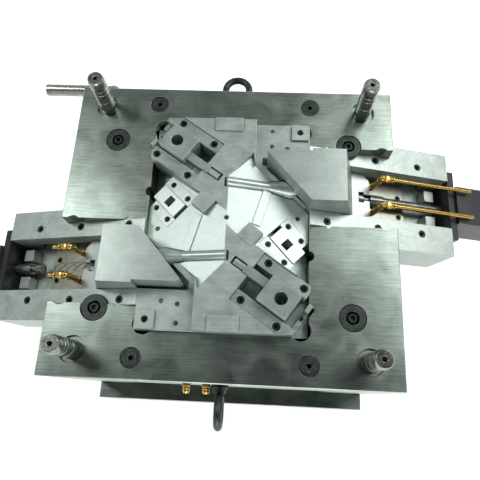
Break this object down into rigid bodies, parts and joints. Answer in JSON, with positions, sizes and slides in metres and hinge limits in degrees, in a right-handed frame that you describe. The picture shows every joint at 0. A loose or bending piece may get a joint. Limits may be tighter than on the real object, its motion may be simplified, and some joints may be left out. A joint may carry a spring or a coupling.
{
  "type": "injection mould half",
  "caption": "Moving half of an injection mould: stacked steel plates, a core insert, sloping core slides worked by hydraulic cylinders, small side slides and a sprung ejector set.",
  "frame": {"origin": "middle of the clamp plate's bottom face, on the mould's centre line", "axes": "+Z out of the parting face, X across the big slides, -Y the front with the water nipples"},
  "size_m": [1.2492, 0.6978, 0.49],
  "materials": {
    "ground_plate_steel": "surface ground, fine straight grain",
    "milled_core_steel": "milled and stoned",
    "polished_core_steel": "fine milled",
    "gib_steel": "ground",
    "wear_bronze_grey": "ground, with oil grooves",
    "hardened_pin_steel": "cylindrically ground",
    "dark_hardened_steel": "blackened",
    "black_screw_steel": "black oxide",
    "brass": "turned",
    "cylinder_black": "satin black paint",
    "pipe_steel": "plated pipe",
    "ejector_steel": "ground",
    "spring_steel": "red coated spring wire"
  },
  "bodies": {
    "mould_half": {"bracket_screws": "black_screw_steel", "clamp_plate": "ground_plate_steel", "clamp_screws": "black_screw_steel", "coolant_pipe": "pipe_steel", "core_insert": "milled_core_steel", "core_plate": "ground_plate_steel", "corner_gib_screws": "black_screw_steel", "corner_gibs": "gib_steel", "corner_stop_screws": "black_screw_steel", "corner_stops": "gib_steel", "cylinder_left": "cylinder_black", "cylinder_right": "cylinder_black", "cylinder_screws": "black_screw_steel", "ejector_guide_pins": "hardened_pin_steel", "eye_bolts": "dark_hardened_steel", "gib_left_front": "gib_steel", "gib_left_rear": "gib_steel", "gib_right_front": "gib_steel", "gib_right_rear": "gib_steel", "gib_screws": "black_screw_steel", "guide_pillars": "hardened_pin_steel", "insert_screws": "black_screw_steel", "slide_bracket_left": "gib_steel", "slide_bracket_right": "gib_steel", "slide_stops": "gib_steel", "small_gib_screws": "black_screw_steel", "small_gibs": "gib_steel", "spacer_blocks": "ground_plate_steel", "stop_buttons": "ejector_steel", "strut_screws": "black_screw_steel", "support_disc_screws": "black_screw_steel", "support_discs": "dark_hardened_steel", "support_pillars": "ejector_steel", "support_plate": "ground_plate_steel", "water_nipples": "brass", "wear_plate_left": "wear_bronze_grey", "wear_plate_right": "wear_bronze_grey", "wear_plate_screws": "black_screw_steel"},
    "slide_left": {"slide_left": "polished_core_steel", "core_pin_left": "polished_core_steel", "coolant_fittings_left": "brass"},
    "slide_right": {"slide_right": "polished_core_steel", "core_pin_right": "polished_core_steel", "coolant_fittings_right": "brass", "piston_rod_right": "hardened_pin_steel"},
    "piston_rod_left": {"piston_rod_left": "hardened_pin_steel"},
    "corner_slide_rear": {"corner_slide_rear_left": "polished_core_steel", "corner_core_rear_left": "polished_core_steel"},
    "corner_slide_front": {"corner_slide_front_right": "polished_core_steel", "corner_core_front_right": "polished_core_steel"},
    "small_slide_left": {"small_slide_left": "polished_core_steel"},
    "small_slide_right": {"small_slide_right": "polished_core_steel"},
    "ejector_set": {"ejector_base_plate": "ejector_steel", "ejector_retainer_plate": "ejector_steel", "ejector_plate_screws": "black_screw_steel", "return_pins": "dark_hardened_steel", "ejector_pins": "hardened_pin_steel", "ejector_guide_bushes": "brass", "return_springs": "spring_steel"}
  },
  "joints": [
    {"name": "slide_left_travel", "type": "slide", "parent": "mould_half", "child": "slide_left", "axis": [-0.9659, 0, -0.2588], "range_m": [0, 0.09]},
    {"name": "slide_right_travel", "type": "slide", "parent": "mould_half", "child": "slide_right", "axis": [0.9659, 0, -0.2588], "range_m": [0, 0.09]},
    {"name": "piston_rod_left_travel", "type": "slide", "parent": "mould_half", "child": "piston_rod_left", "axis": [-0.9659, 0, -0.2588], "range_m": [-0.085, 0]},
    {"name": "corner_slide_rear_travel", "type": "slide", "parent": "mould_half", "child": "corner_slide_rear", "axis": [-0.8241, 0.5664, 0], "range_m": [0, 0.014]},
    {"name": "corner_slide_front_travel", "type": "slide", "parent": "mould_half", "child": "corner_slide_front", "axis": [0.8241, -0.5664, 0], "range_m": [0, 0.014]},
    {"name": "small_slide_left_travel", "type": "slide", "parent": "mould_half", "child": "small_slide_left", "axis": [-0.6889, 0.7009, -0.1846], "range_m": [0, 0.012]},
    {"name": "small_slide_right_travel", "type": "slide", "parent": "mould_half", "child": "small_slide_right", "axis": [0.6889, -0.7009, -0.1846], "range_m": [0, 0.012]},
    {"name": "ejector_stroke", "type": "slide", "parent": "mould_half", "child": "ejector_set", "axis": [0, 0, 1], "range_m": [0, 0.05], "stiffness_N_per_m": 20000, "deforming": ["return_springs"]}
  ]
}
